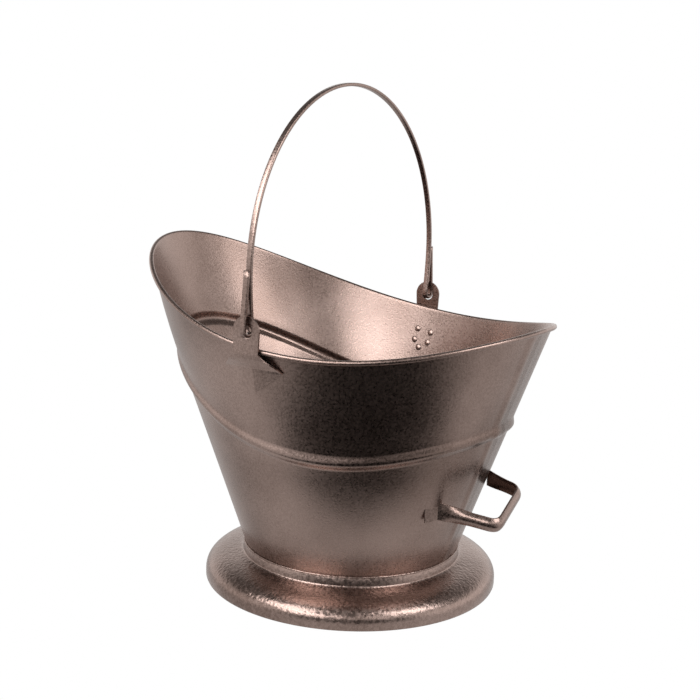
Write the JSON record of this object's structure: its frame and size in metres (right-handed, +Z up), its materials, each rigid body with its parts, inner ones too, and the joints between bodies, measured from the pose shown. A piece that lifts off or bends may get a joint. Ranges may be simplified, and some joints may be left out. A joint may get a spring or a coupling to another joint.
{
  "type": "coal scuttle",
  "caption": "Oval flared coal scuttle of sheet steel on a round flared foot, with a wired rim, a pouring lip, a swing bail and a strap grip at the back.",
  "frame": {"origin": "on the floor, in the middle of the scuttle's length and width", "axes": "+Z up, -X towards the pouring lip, +X towards the seam and the rear grip, Y across between the ears"},
  "size_m": [0.4296, 0.3542, 0.487],
  "materials": {
    "body_paint": "hammered bronze metallic paint",
    "foot_paint": "hammered bronze metallic paint",
    "fitting_paint": "hammered bronze metallic paint",
    "wire_steel": "plain steel wire inside the curled rim"
  },
  "bodies": {
    "root": {"body_shell": "body_paint", "rim_wire": "wire_steel", "floor_pan": "body_paint", "foot_ring": "foot_paint", "ear_left": "fitting_paint", "ear_right": "fitting_paint", "rear_grip": "fitting_paint"},
    "bail": {"bail_handle": "fitting_paint"}
  },
  "joints": [
    {"name": "bail_swing", "type": "hinge", "parent": "root", "child": "bail", "pos_m": [0.0011, 0, 0.26818], "axis": [0, 1, 0], "range_deg": [-72, 110]}
  ]
}
